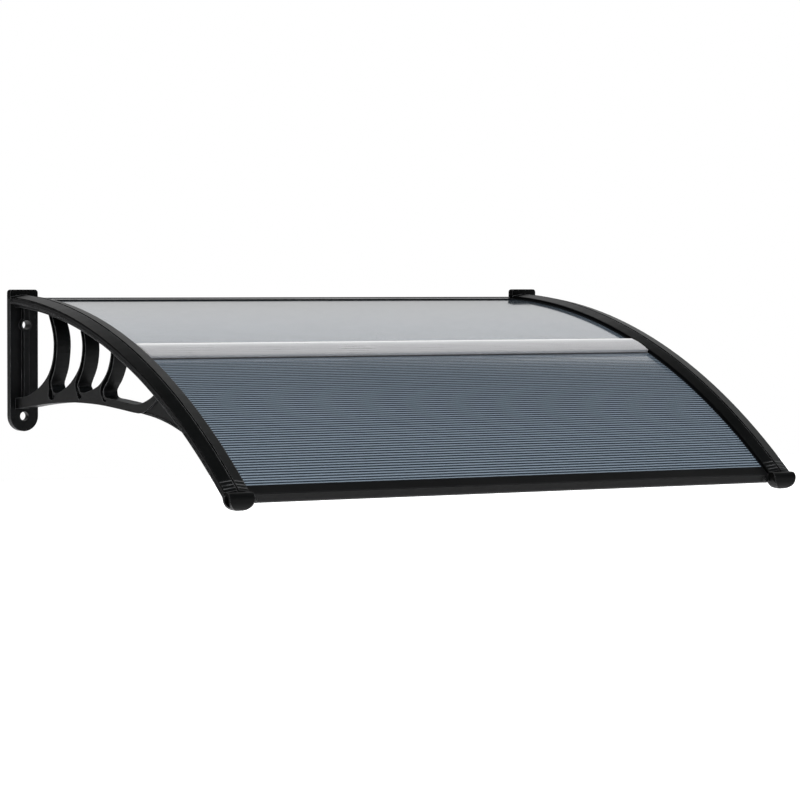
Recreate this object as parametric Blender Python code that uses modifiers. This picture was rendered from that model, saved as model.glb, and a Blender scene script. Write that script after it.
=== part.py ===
"""Wall-mounted door canopy: two moulded brackets, two twin-wall sheets and three cross bars.

Metres, +Z up. X runs along the wall, the wall is the plane Y = 0 and the canopy reaches
out to -Y. The origin is mid-width, on the rear bar's back face.
"""

import math

import bmesh
import bpy
from mathutils import Matrix, Vector

COLLECTION_NAME = "door_canopy"
CUTTER_COLLECTION_NAME = "door_canopy_cutters"

# Overall
WIDTH = 1.000
FIT_GAP = 0.0003
MOULD_STEP = 0.0004
CUT_MARGIN = 0.010

# Arc that the arms' top edges follow, by its radius, its slope at the wall and its length
ARC_RADIUS = 1.214
ARC_START_SLOPE = math.radians(1.75)
ARC_LENGTH = 0.7876
ARM_TOP_AT_WALL = 0.017
ARC_STEPS = 30

# Wall plates
PLATE_WIDTH = 0.048
PLATE_THICKNESS = 0.012
PLATE_RISE = 0.011
PLATE_DROP = 0.214
PLATE_CORNER_RADIUS = 0.005
WALL_HOLE_DIAMETER = 0.0145
UPPER_HOLE_DROP = 0.045
RIB_WIDTH = 0.009
RIB_HEIGHT = 0.0095
BOSS_DIAMETER = 0.0185

# Arm section: a shallow gable with a groove along its ridge and a slot for the sheets
ARM_NOSE_WIDTH = 0.041
CROWN_HEIGHT = 0.0034
GROOVE_WIDTH = 0.0036
GROOVE_DEPTH = 0.0024
EDGE_CHAMFER = 0.0006
INNER_EDGE_RADIUS = 0.0022
ARM_SIDE_HEIGHT = 0.0104
SIDE_RECESS_DEPTH = 0.0018
SIDE_LIP_HEIGHT = 0.0015
SIDE_LIP_WIDTH = 0.0030
TOP_SKIN = 0.0038
LEDGE_THICKNESS = 0.0030
SLOT_END_INSET = 0.029
CHORD_DROP = 0.016
CHANNEL_WALL = 0.0030
CHANNEL_WIDTH = 0.014

# Fine ridges across the arm, by their distance behind its end
RIDGE_SETBACKS = (0.0208, 0.0131, 0.0064)
RIDGE_WIDTH = 0.0012
RIDGE_HEIGHT = 0.0005

# Truss below the arm
TRUSS_INSET = 0.009
TRUSS_WIDTH = 0.0234
CHORD_LIP_HEIGHT = 0.0024
CHORD_LIP_START = 0.376
CHORD_LIP_END = 0.600
POCKET_DEPTH = 0.008
POCKET_WIDTH = 0.0088
GUSSET_RECESS = 0.0022
GUSSET_LIP_HEIGHT = 0.0022

# Nose at the front end of each arm
NOSE_DEPTH = 0.0215
NOSE_OVERHANG = 0.0155
NOSE_HEIGHT = 0.0262
NOSE_BROW_RADIUS = 0.009
NOSE_CHIN_RADIUS = 0.011
NOSE_SIDE_RADIUS = 0.0185
NOSE_POCKET_DEPTH = 0.009
NOSE_POCKET_LENGTH = 0.0175
NOSE_POCKET_WIDTH = 0.0145
NOSE_POCKET_RISE = 0.0135

# Twin-wall sheets
SHEET_DROP = 0.0063
SHEET_THICKNESS = 0.005
SHEET_SKIN = 0.0006
SHEET_SIDE_INSET = 0.030
SHEET_END_PLAY = 0.001
FLUTE_PITCH = 0.0058
FLUTE_WEB = 0.0005

# Self-tapping screws
SCREW_HEAD_DIAMETER = 0.0062
SCREW_HEAD_HEIGHT = 0.0020
SCREW_SHANK_DIAMETER = 0.0032
SCREW_STEPS = 12
SCREW_SPACING = 0.010
SCREW_INSET = 0.0085

# Joint bar between the two sheets
JOINT_PLACE = 0.3965
JOINT_WIDTH = 0.050
JOINT_CROWN = 0.0014
JOINT_EDGE_DROP = 0.0004
JOINT_BOX_FLOOR_DROP = 0.0046
JOINT_WALL = 0.0014
JOINT_LOWER_WIDTH = 0.040
JOINT_LOWER_THICKNESS = 0.0020
JOINT_GROOVE_COUNT = 5
JOINT_GROOVE_PITCH = 0.0050
JOINT_GROOVE_WIDTH = 0.0010
JOINT_GROOVE_DEPTH = 0.0004
JOINT_GROOVE_SHIFT = 0.0075
JOINT_CROWN_STEPS = 8
SEAL_WIDTH = 0.0050
SEAL_PROUD = 0.0022
TAB_LENGTH = 0.026
TAB_DEPTH = 0.024
TAB_THICKNESS = 0.0030
TAB_ROOT = 0.006

# Front bar
FRONT_STRIP_WIDTH = 0.0165
FRONT_STRIP_THICKNESS = 0.0017
FRONT_LIP_THICKNESS = 0.0016
FRONT_GRIP = 0.0095
FRONT_CREASE_SETBACK = 0.0011
FRONT_FACE_STEP = 0.0034
FRONT_FACE_HEIGHT = 0.0139
FRONT_FACE_CHAMFER = 0.0020
FRONT_CHAMBER_WALL = 0.0018
FRONT_CHAMBER_DEPTH = 0.0080
FRONT_CHAMBER_HEIGHT = 0.0072
LUG_LENGTH = 0.018

# Rear bar and its wall seal
REAR_BAR_HEIGHT = 0.018
REAR_LIP_THICKNESS = 0.0015
REAR_LIP_REACH = 0.020
REAR_BACK_THICKNESS = 0.0025
REAR_WALL = 0.0018
REAR_CHANNEL_HEIGHT = 0.0030
REAR_TAB_THICKNESS = 0.0025
WALL_SEAL_HEIGHT = 0.0022
WALL_SEAL_DEPTH = 0.0045

# Outlines in the bracket's side view: distance out from the wall, drop below the arm's
# top edge at the wall. Each is a smooth line through its points.
MEMBER_UNDERSIDE = (
    (0.000, 0.1785),
    (0.046, 0.1748),
    (0.092, 0.1696),
    (0.153, 0.1643),
    (0.230, 0.1606),
    (0.310, 0.1611),
    (0.380, 0.1651),
    (0.425, 0.1684),
    (0.450, 0.1688),
    (0.470, 0.1634),
    (0.490, 0.1535),
    (0.520, 0.1340),
    (0.560, 0.1050),
)
WALL_OPENING_SIDE = (
    (0.108, -0.030),
    (0.120, 0.004),
    (0.133, 0.026),
    (0.146, 0.048),
    (0.1525, 0.070),
    (0.149, 0.096),
    (0.134, 0.119),
    (0.108, 0.1372),
    (0.070, 0.1528),
    (0.030, 0.1598),
    (-0.020, 0.1630),
)
SECOND_OPENING = (
    (0.126, -0.020),
    (0.138, 0.012),
    (0.149, 0.033),
    (0.161, 0.053),
    (0.1652, 0.076),
    (0.158, 0.109),
    (0.1437, 0.1315),
    (0.1453, 0.1390),
    (0.1500, 0.1462),
    (0.1585, 0.1488),
    (0.172, 0.1470),
    (0.197, 0.1383),
    (0.2212, 0.1252),
    (0.2445, 0.1045),
    (0.2532, 0.079),
    (0.2505, 0.058),
    (0.238, 0.032),
    (0.222, -0.010),
)
THIRD_OPENING = (
    (0.236, -0.005),
    (0.250, 0.032),
    (0.261, 0.055),
    (0.2655, 0.080),
    (0.258, 0.107),
    (0.2387, 0.1320),
    (0.2415, 0.1384),
    (0.2452, 0.1434),
    (0.2515, 0.1450),
    (0.265, 0.1438),
    (0.290, 0.1384),
    (0.3125, 0.1306),
    (0.3345, 0.1145),
    (0.3465, 0.0965),
    (0.351, 0.0780),
    (0.346, 0.040),
    (0.340, 0.010),
)
FRONT_OPENING = (
    (0.355, 0.020),
    (0.3605, 0.060),
    (0.3625, 0.084),
    (0.357, 0.104),
    (0.343, 0.1232),
    (0.3335, 0.1312),
    (0.3270, 0.1380),
    (0.3270, 0.1432),
    (0.3300, 0.1480),
    (0.3390, 0.1502),
    (0.356, 0.1512),
    (0.390, 0.1535),
    (0.420, 0.1555),
    (0.443, 0.1556),
    (0.4606, 0.1518),
    (0.480, 0.1458),
    (0.500, 0.1370),
    (0.530, 0.1190),
    (0.510, 0.050),
)
STRUT_POCKETS = (
    (
        (0.119, -0.010),
        (0.141, 0.0300),
        (0.1540, 0.0525),
        (0.1590, 0.0745),
        (0.1538, 0.1025),
        (0.1400, 0.1250),
        (0.1376, 0.1335),
        (0.1392, 0.1440),
    ),
    (
        (0.230, 0.000),
        (0.2470, 0.0400),
        (0.2575, 0.0620),
        (0.2590, 0.0815),
        (0.2500, 0.1070),
        (0.2368, 0.1250),
        (0.2328, 0.1330),
        (0.2348, 0.1410),
    ),
    (
        (0.3520, 0.0300),
        (0.3565, 0.0700),
        (0.3565, 0.0860),
        (0.3502, 0.1045),
        (0.3370, 0.1205),
        (0.3255, 0.1305),
        (0.3196, 0.1390),
        (0.3208, 0.1450),
    ),
)
STRUT_FEET = (
    (
        (0.1371, 0.1384),
        (0.1340, 0.1430),
        (0.1322, 0.1490),
        (0.1334, 0.1555),
        (0.1385, 0.1592),
        (0.1460, 0.1601),
        (0.1525, 0.1577),
        (0.1564, 0.1538),
        (0.1530, 0.1512),
        (0.1475, 0.1475),
        (0.1436, 0.1420),
    ),
    (
        (0.2330, 0.1380),
        (0.2322, 0.1420),
        (0.2340, 0.1470),
        (0.2364, 0.1515),
        (0.2395, 0.1545),
        (0.2437, 0.1553),
        (0.2484, 0.1535),
        (0.2514, 0.1504),
        (0.2488, 0.1480),
        (0.2443, 0.1463),
        (0.2394, 0.1415),
    ),
    (
        (0.3200, 0.1430),
        (0.3197, 0.1468),
        (0.3215, 0.1516),
        (0.3257, 0.1550),
        (0.3310, 0.1563),
        (0.3362, 0.1551),
        (0.3343, 0.1533),
        (0.3288, 0.1510),
        (0.3250, 0.1462),
    ),
)
GUSSET_UNDERSIDE = (
    (0.430, 0.1660),
    (0.452, 0.1690),
    (0.496, 0.1735),
    (0.537, 0.1805),
    (0.572, 0.1890),
    (0.610, 0.2000),
)
OUTLINE_STEPS = 3

# Materials: base colour, metallic, roughness, alpha
MATERIALS = {
    "black_plastic": ((0.018, 0.019, 0.020), 0.0, 0.42, 1.0),
    "black_aluminium": ((0.014, 0.015, 0.016), 0.6, 0.40, 1.0),
    "silver_aluminium": ((0.62, 0.63, 0.65), 1.0, 0.30, 1.0),
    "smoke_polycarbonate": ((0.16, 0.19, 0.24), 0.0, 0.15, 0.75),
    "black_rubber": ((0.012, 0.012, 0.012), 0.0, 0.75, 1.0),
    "screw_steel": ((0.55, 0.55, 0.56), 1.0, 0.35, 1.0),
}

# Profile planes: a side profile is drawn in Y and Z and runs along X, a front one is
# drawn in X and Z and runs along -Y, a plan one is drawn in X and Y and runs up Z
SIDE_VIEW = Matrix(((0, 0, 1), (1, 0, 0), (0, 1, 0))).to_4x4()
FRONT_VIEW = Matrix(((1, 0, 0), (0, 0, -1), (0, 1, 0))).to_4x4()


# Places worked out from the driving dimensions


def arc_angle(along):
    """Slope of the arms at a distance along their arc from the wall."""
    return ARC_START_SLOPE + along / ARC_RADIUS


def arc_point(along, rise):
    """(y, z) of a point that far along the arc and that far above it."""
    angle = arc_angle(along)
    radius = ARC_RADIUS + rise
    y = ARC_RADIUS * math.sin(ARC_START_SLOPE) - radius * math.sin(angle)
    z = radius * math.cos(angle) - ARC_RADIUS * math.cos(ARC_START_SLOPE)
    return y, ARM_TOP_AT_WALL + z


def arc_normal(along):
    """Direction that points up and out of the arms there."""
    angle = arc_angle(along)
    return Vector((0.0, -math.sin(angle), math.cos(angle)))


def arm_width(along):
    """The arm narrows evenly from the wall to its nose."""
    share = along / ARC_LENGTH
    return PLATE_WIDTH + (ARM_NOSE_WIDTH - PLATE_WIDTH) * share


def side_point(reach, drop):
    """(y, z) of a point given by its reach from the wall and its drop below the arm's top."""
    return -reach, ARM_TOP_AT_WALL - drop


OUTER_X = -WIDTH / 2
PLATE_CENTRE_X = OUTER_X + PLATE_WIDTH / 2
TRUSS_OUTER_X = OUTER_X + TRUSS_INSET
TRUSS_INNER_X = TRUSS_OUTER_X + TRUSS_WIDTH
NOSE_INNER_X = OUTER_X + ARM_NOSE_WIDTH
SHEET_TOP = -SHEET_DROP
SHEET_UNDER = SHEET_TOP - SHEET_THICKNESS
SLOT_TOP = SHEET_TOP + FIT_GAP
SLOT_FLOOR = SHEET_UNDER - FIT_GAP
LEDGE_UNDER = SLOT_FLOOR - LEDGE_THICKNESS
SCREW_HOLE_RADIUS = SCREW_SHANK_DIAMETER / 2 + FIT_GAP
JOINT_WEB_HALF = SCREW_HOLE_RADIUS + JOINT_WALL
REAR_SHEET_START = PLATE_THICKNESS + FIT_GAP + FIT_GAP
REAR_SHEET_END = JOINT_PLACE - JOINT_WEB_HALF - SHEET_END_PLAY
FRONT_SHEET_START = JOINT_PLACE + JOINT_WEB_HALF + SHEET_END_PLAY
NOSE_BACK_Y = arc_point(ARC_LENGTH, 0)[0] + NOSE_DEPTH - NOSE_OVERHANG
FRONT_CREASE_PLACE = ARC_LENGTH - FRONT_CREASE_SETBACK
FRONT_STRIP_TOP = SLOT_TOP + FRONT_STRIP_THICKNESS
FRONT_STRIP_START = FRONT_CREASE_PLACE - FRONT_STRIP_WIDTH
FRONT_SLOT_END = FRONT_STRIP_START + FRONT_GRIP
FRONT_SHEET_END = FRONT_SLOT_END - FIT_GAP
JOINT_LOWER_TOP = SLOT_FLOOR
JOINT_LOWER_UNDER = JOINT_LOWER_TOP - JOINT_LOWER_THICKNESS
JOINT_TAB_TOP = JOINT_LOWER_UNDER - FIT_GAP
REAR_LIP_TOP = SLOT_TOP + REAR_LIP_THICKNESS
REAR_LOWER_LIP_UNDER = SLOT_FLOOR - REAR_LIP_THICKNESS
REAR_TOP_Z = ARM_TOP_AT_WALL + REAR_LIP_TOP
REAR_BOTTOM_Z = REAR_TOP_Z - REAR_BAR_HEIGHT
REAR_CHANNEL_ROOF_Z = ARM_TOP_AT_WALL + REAR_LOWER_LIP_UNDER - REAR_WALL
REAR_CHANNEL_FLOOR_Z = REAR_CHANNEL_ROOF_Z - REAR_CHANNEL_HEIGHT
REAR_SCREW_Y = -REAR_BACK_THICKNESS - SCREW_HEAD_DIAMETER / 2 - FIT_GAP
REAR_CHANNEL_BACK_Y = REAR_SCREW_Y + SCREW_HOLE_RADIUS
REAR_CHANNEL_FRONT_Y = REAR_SCREW_Y - SCREW_HOLE_RADIUS
BAR_END_X = OUTER_X + arm_width(FRONT_STRIP_START) + FIT_GAP
JOINT_END_X = OUTER_X + arm_width(JOINT_PLACE - JOINT_WIDTH / 2) + FIT_GAP
REAR_END_X = OUTER_X + PLATE_WIDTH + FIT_GAP


# Scene and object helpers


def clear_scene():
    for obj in list(bpy.data.objects):
        bpy.data.objects.remove(obj, do_unlink=True)


def new_collection(name):
    collection = bpy.data.collections.new(name)
    bpy.context.scene.collection.children.link(collection)
    return collection


def make_material(name):
    colour, metallic, roughness, alpha = MATERIALS[name]
    material = bpy.data.materials.new(name)
    material.use_nodes = True
    shader = material.node_tree.nodes["Principled BSDF"]
    shader.inputs["Base Color"].default_value = (*colour, 1.0)
    shader.inputs["Metallic"].default_value = metallic
    shader.inputs["Roughness"].default_value = roughness
    shader.inputs["Alpha"].default_value = alpha
    return material


def add_object(name, mesh, collection, material=None):
    obj = bpy.data.objects.new(name, mesh)
    collection.objects.link(obj)
    if material:
        mesh.materials.clear()
        mesh.materials.append(material)
    return obj


def as_cutter(obj):
    """A helper shape that only cuts or joins another one."""
    obj.hide_render = True
    obj.display_type = "WIRE"
    return obj


def evaluated_mesh(obj, name):
    """The object's shape after its modifiers, as a mesh of its own."""
    bpy.context.view_layer.update()
    graph = bpy.context.evaluated_depsgraph_get()
    mesh = bpy.data.meshes.new_from_object(obj.evaluated_get(graph))
    mesh.name = name
    return mesh


def weld(mesh):
    bm = bmesh.new()
    bm.from_mesh(mesh)
    bmesh.ops.remove_doubles(bm, verts=bm.verts, dist=1e-6)
    bmesh.ops.recalc_face_normals(bm, faces=bm.faces)
    bm.to_mesh(mesh)
    bm.free()


def extruded(name, loops, view, start, end, collection):
    """Solid between two depths of a view, from closed outlines: the first and its holes."""
    curve = bpy.data.curves.new(name, "CURVE")
    curve.dimensions = "2D"
    curve.fill_mode = "BOTH"
    curve.extrude = (end - start) / 2
    for loop in loops:
        spline = curve.splines.new("POLY")
        spline.points.add(len(loop) - 1)
        for point, (u, v) in zip(spline.points, loop):
            point.co = (u, v, 0.0, 1.0)
        spline.use_cyclic_u = True
    outline = bpy.data.objects.new(name + "_outline", curve)
    collection.objects.link(outline)
    mesh = evaluated_mesh(outline, name)
    bpy.data.objects.remove(outline)
    bpy.data.curves.remove(curve)
    mesh.transform(view @ Matrix.Translation((0.0, 0.0, (start + end) / 2)))
    weld(mesh)
    return add_object(name, mesh, collection)


def box(name, low, high, collection):
    bm = bmesh.new()
    bmesh.ops.create_cube(bm, size=1.0)
    centre = (Vector(low) + Vector(high)) / 2
    size = Vector(high) - Vector(low)
    bm.transform(Matrix.Translation(centre) @ Matrix.Diagonal((*size, 1.0)))
    mesh = bpy.data.meshes.new(name)
    bm.to_mesh(mesh)
    bm.free()
    return add_object(name, mesh, collection)


def cylinder(name, centre, direction, radius, length, collection, sides=24):
    """Round bar with its middle at the centre."""
    bm = bmesh.new()
    bmesh.ops.create_cone(
        bm, cap_ends=True, segments=sides, radius1=radius, radius2=radius, depth=length
    )
    turn = Vector(direction).to_track_quat("Z", "X").to_matrix().to_4x4()
    bm.transform(Matrix.Translation(centre) @ turn)
    mesh = bpy.data.meshes.new(name)
    bm.to_mesh(mesh)
    bm.free()
    return add_object(name, mesh, collection)


def boolean(obj, other, operation):
    modifier = obj.modifiers.new(f"{operation.lower()}_{other.name}", "BOOLEAN")
    modifier.operation = operation
    modifier.solver = "EXACT"
    modifier.object = other
    as_cutter(other)


def shade(obj, angle=math.radians(32)):
    """Smooth shading that keeps the real edges sharp."""
    obj.data.shade_smooth()
    obj.data.set_sharp_from_angle(angle=angle)


# Outlines


def rounded_line(points, steps=OUTLINE_STEPS):
    """Smooth open line through the points, by Catmull-Rom pieces."""
    points = [Vector(point) for point in points]
    ends = [2 * points[0] - points[1], *points, 2 * points[-1] - points[-2]]
    line = []
    for before, start, end, after in zip(ends, ends[1:], ends[2:], ends[3:]):
        for step in range(steps):
            t = step / steps
            line.append(
                0.5
                * (
                    2 * start
                    + (end - before) * t
                    + (2 * before - 5 * start + 4 * end - after) * t**2
                    + (3 * start - before - 3 * end + after) * t**3
                )
            )
    line.append(points[-1])
    return line


def side_outline(points, steps=OUTLINE_STEPS):
    """The same line, in the bracket's side view."""
    return [side_point(*point) for point in rounded_line(points, steps)]


def corner_arc(centre, radius, start, end, steps):
    """Points of a round corner, from one angle to another in degrees."""
    angles = [math.radians(start + (end - start) * step / steps) for step in range(steps + 1)]
    return [
        (centre[0] + radius * math.cos(angle), centre[1] + radius * math.sin(angle))
        for angle in angles
    ]


def band_outline(points, width, steps=OUTLINE_STEPS, end_steps=5):
    """Outline of a band of constant width round a smooth line, with round ends."""
    line = rounded_line(points, steps)
    left = []
    right = []
    for index, point in enumerate(line):
        ahead = line[min(index + 1, len(line) - 1)]
        behind = line[max(index - 1, 0)]
        along = (ahead - behind).normalized()
        across = Vector((-along.y, along.x)) * width / 2
        left.append(point + across)
        right.append(point - across)
    last = line[-1] - line[-2]
    heading = math.degrees(math.atan2(last.y, last.x))
    cap = corner_arc(line[-1], width / 2, heading + 90, heading - 90, end_steps)
    return left + [Vector(point) for point in cap[1:-1]] + right[::-1]


def plate_outline():
    """Wall plate from the front: small round corners on top and a half-round foot."""
    left = OUTER_X
    right = OUTER_X + PLATE_WIDTH
    top = ARM_TOP_AT_WALL + PLATE_RISE
    foot_radius = PLATE_WIDTH / 2
    foot = (PLATE_CENTRE_X, ARM_TOP_AT_WALL - PLATE_DROP + foot_radius)
    corner = PLATE_CORNER_RADIUS
    return (
        corner_arc(foot, foot_radius, 180, 360, 16)
        + corner_arc((right - corner, top - corner), corner, 0, 90, 4)
        + corner_arc((left + corner, top - corner), corner, 90, 180, 4)
    )


def gable_rise(inward):
    """Rise of the arm's top that far in from either of its long edges."""
    return CROWN_HEIGHT * (inward - EDGE_CHAMFER) / ((PLATE_WIDTH - GROOVE_WIDTH) / 2 - EDGE_CHAMFER)


def arm_section():
    """Section across the arm: (distance in from the outer side, rise above the top edge)."""
    middle = PLATE_WIDTH / 2
    truss_outer = TRUSS_INSET - MOULD_STEP
    truss_inner = TRUSS_INSET + TRUSS_WIDTH + MOULD_STEP
    channel_start = truss_outer + CHANNEL_WALL
    channel_end = channel_start + CHANNEL_WIDTH
    groove_floor = CROWN_HEIGHT - GROOVE_DEPTH
    flange_top = SIDE_LIP_HEIGHT - ARM_SIDE_HEIGHT
    side = MOULD_STEP
    return (
        (side, -EDGE_CHAMFER),
        (side + EDGE_CHAMFER, 0.0),
        (middle - GROOVE_WIDTH / 2, CROWN_HEIGHT),
        (middle - GROOVE_WIDTH / 2 + EDGE_CHAMFER, groove_floor),
        (middle + GROOVE_WIDTH / 2 - EDGE_CHAMFER, groove_floor),
        (middle + GROOVE_WIDTH / 2, CROWN_HEIGHT),
        (PLATE_WIDTH - INNER_EDGE_RADIUS, gable_rise(INNER_EDGE_RADIUS)),
        *corner_arc((PLATE_WIDTH - INNER_EDGE_RADIUS, -INNER_EDGE_RADIUS), INNER_EDGE_RADIUS, 60, 0, 2),
        (PLATE_WIDTH, SLOT_TOP),
        (SLOT_END_INSET, SLOT_TOP),
        (SLOT_END_INSET, SLOT_FLOOR),
        (PLATE_WIDTH, SLOT_FLOOR),
        (PLATE_WIDTH, LEDGE_UNDER),
        (truss_inner, LEDGE_UNDER),
        (truss_inner, -CHORD_DROP),
        (channel_end, -CHORD_DROP),
        (channel_end, -TOP_SKIN),
        (channel_start, -TOP_SKIN),
        (channel_start, -CHORD_DROP),
        (truss_outer, -CHORD_DROP),
        (truss_outer, -TOP_SKIN - SIDE_LIP_HEIGHT),
        (SIDE_LIP_WIDTH, -TOP_SKIN - SIDE_LIP_HEIGHT),
        (SIDE_LIP_WIDTH, -ARM_SIDE_HEIGHT),
        (side, -ARM_SIDE_HEIGHT),
        (side, flange_top),
        (SIDE_RECESS_DEPTH, flange_top + EDGE_CHAMFER),
        (SIDE_RECESS_DEPTH, -SIDE_LIP_HEIGHT - EDGE_CHAMFER),
        (side, -SIDE_LIP_HEIGHT),
    )


# Left bracket, from which the right one is mirrored


def ridge_section():
    """Section of a fine ridge across the arm's two bands, with the groove left clear."""
    clear = GROOVE_WIDTH / 2 + MOULD_STEP
    middle = PLATE_WIDTH / 2
    outer = MOULD_STEP + 2 * EDGE_CHAMFER
    inner = PLATE_WIDTH - INNER_EDGE_RADIUS - MOULD_STEP
    groove_floor = CROWN_HEIGHT - GROOVE_DEPTH - MOULD_STEP
    return (
        (outer, -RIDGE_HEIGHT),
        (outer, gable_rise(outer) + RIDGE_HEIGHT),
        (middle - clear, CROWN_HEIGHT + RIDGE_HEIGHT),
        (middle - clear, groove_floor),
        (middle + clear, groove_floor),
        (middle + clear, CROWN_HEIGHT + RIDGE_HEIGHT),
        (inner, gable_rise(PLATE_WIDTH - inner) + RIDGE_HEIGHT),
        (inner, -RIDGE_HEIGHT),
    )


def swept(name, section, start, end, steps, cutters):
    """A section turned about the arc's axis from one place to another, narrowed to the nose."""
    centre_y = ARC_RADIUS * math.sin(ARC_START_SLOPE)
    centre_z = ARM_TOP_AT_WALL - ARC_RADIUS * math.cos(ARC_START_SLOPE)
    bm = bmesh.new()
    ring = []
    for across, rise in section:
        y, z = arc_point(start, rise)
        ring.append(bm.verts.new((OUTER_X + across, y, z)))
    face = bm.faces.new(ring)
    bmesh.ops.spin(
        bm,
        geom=[face],
        axis=(1, 0, 0),
        cent=(0, centre_y, centre_z),
        angle=(end - start) / ARC_RADIUS,
        steps=steps,
    )
    narrowed = PLATE_WIDTH - SLOT_END_INSET
    for vert in bm.verts:
        behind = centre_y - vert.co.y
        above = vert.co.z - centre_z
        along = (math.atan2(behind, above) - ARC_START_SLOPE) * ARC_RADIUS
        taper = PLATE_WIDTH - arm_width(along)
        across = vert.co.x - OUTER_X
        if math.hypot(behind, above) - ARC_RADIUS > -INNER_EDGE_RADIUS / 2:
            vert.co.x -= taper * across / PLATE_WIDTH
        elif across > SLOT_END_INSET:
            vert.co.x -= taper * (across - SLOT_END_INSET) / narrowed
    bmesh.ops.recalc_face_normals(bm, faces=bm.faces)
    mesh = bpy.data.meshes.new(name)
    bm.to_mesh(mesh)
    bm.free()
    return add_object(name, mesh, cutters)


def make_arm(cutters):
    """Curved arm, with fine ridges across it just behind the nose."""
    arm = swept("arm", arm_section(), PLATE_THICKNESS / 3, ARC_LENGTH, ARC_STEPS, cutters)
    for number, setback in enumerate(RIDGE_SETBACKS, start=1):
        start = ARC_LENGTH - setback - RIDGE_WIDTH / 2
        ridge = swept(f"arm_ridge_{number}", ridge_section(), start, start + RIDGE_WIDTH, 1, cutters)
        boolean(arm, ridge, "UNION")
    return arm


def make_sky(cutters):
    """Everything above the ledge under the sheets, to trim what is built below it."""
    steps = ARC_STEPS
    length = ARC_LENGTH
    trim = SLOT_FLOOR - LEDGE_THICKNESS / 2
    low = [arc_point(length * step / steps, trim) for step in range(-1, steps + 1)]
    high = ARM_TOP_AT_WALL + 10 * CUT_MARGIN
    outline = [(low[0][0], high), *low, (low[-1][0], high)]
    return extruded(
        "sky", [outline], SIDE_VIEW, OUTER_X - CUT_MARGIN, OUTER_X + PLATE_WIDTH, cutters
    )


def make_truss(sky, cutters):
    """Lower member and three curved struts, cut out of one panel and hollowed on both sides."""
    outer = TRUSS_OUTER_X
    inner = TRUSS_INNER_X
    wall = PLATE_THICKNESS / 2
    bottom = side_outline(MEMBER_UNDERSIDE)
    bottom = [(min(y, -wall), z) for y, z in bottom if y < wall]
    top_z = ARM_TOP_AT_WALL + CUT_MARGIN
    panel_outline = [(-wall, top_z), *bottom, (bottom[-1][0], top_z)]
    truss = extruded("truss", [panel_outline], SIDE_VIEW, outer, inner, cutters)
    wall_side = side_outline(WALL_OPENING_SIDE)
    openings = {
        "wall_opening": [(-wall + 3 * CUT_MARGIN, wall_side[0][1]), *wall_side],
        "second_opening": side_outline(SECOND_OPENING),
        "third_opening": side_outline(THIRD_OPENING),
        "front_opening": side_outline(FRONT_OPENING),
    }
    for name, outline in openings.items():
        cut = extruded(
            name, [outline], SIDE_VIEW, outer - CUT_MARGIN, inner + CUT_MARGIN, cutters
        )
        boolean(truss, cut, "DIFFERENCE")
    for number, (line, foot) in enumerate(zip(STRUT_POCKETS, STRUT_FEET), start=1):
        outline = [side_point(*point) for point in band_outline(line, POCKET_WIDTH)]
        foot_outline = side_outline([*foot, foot[0]])[:-1]
        sides = {
            "outer": (outer - CUT_MARGIN, outer + POCKET_DEPTH),
            "inner": (inner - POCKET_DEPTH, inner + CUT_MARGIN),
        }
        for side, (start, end) in sides.items():
            pocket = extruded(
                f"strut_{number}_{side}_pocket", [outline], SIDE_VIEW, start, end, cutters
            )
            boolean(truss, pocket, "DIFFERENCE")
            drop = extruded(
                f"strut_{number}_{side}_drop",
                [foot_outline],
                SIDE_VIEW,
                start - MOULD_STEP if side == "outer" else start + MOULD_STEP,
                end - MOULD_STEP if side == "outer" else end + MOULD_STEP,
                cutters,
            )
            boolean(truss, drop, "DIFFERENCE")
    boolean(truss, sky, "DIFFERENCE")
    return truss


def chord_line(rise):
    """Line along the arm's underside, over the front opening and the gusset."""
    steps = 8
    span = CHORD_LIP_END - CHORD_LIP_START
    return [arc_point(CHORD_LIP_START + span * step / steps, rise) for step in range(steps + 1)]


def make_gusset(sky, cutters):
    """Web in the corner between the member's end and the arm, with lips below and above."""
    edge = side_outline(GUSSET_UNDERSIDE)
    back = side_outline(MEMBER_UNDERSIDE)[-3 * OUTLINE_STEPS - 1 : -1]
    web_outline = [*edge, (edge[-1][0], edge[-1][1] + 3 * CUT_MARGIN), back[-1]]
    web = extruded(
        "gusset",
        [web_outline],
        SIDE_VIEW,
        TRUSS_OUTER_X + GUSSET_RECESS,
        TRUSS_INNER_X - GUSSET_RECESS,
        cutters,
    )
    lip_outline = [*edge, *[(y, z + GUSSET_LIP_HEIGHT) for y, z in reversed(edge)]]
    chord_outline = [
        *chord_line(-CHORD_DROP + CHORD_LIP_HEIGHT / 2),
        *reversed(chord_line(-CHORD_DROP - CHORD_LIP_HEIGHT)),
    ]
    lips = (("gusset_lip", lip_outline, MOULD_STEP), ("chord_lip", chord_outline, 2 * MOULD_STEP))
    for name, outline, inset in lips:
        lip = extruded(
            name, [outline], SIDE_VIEW, TRUSS_OUTER_X + inset, TRUSS_INNER_X - inset, cutters
        )
        boolean(web, lip, "UNION")
    boolean(web, sky, "DIFFERENCE")
    return web


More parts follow.
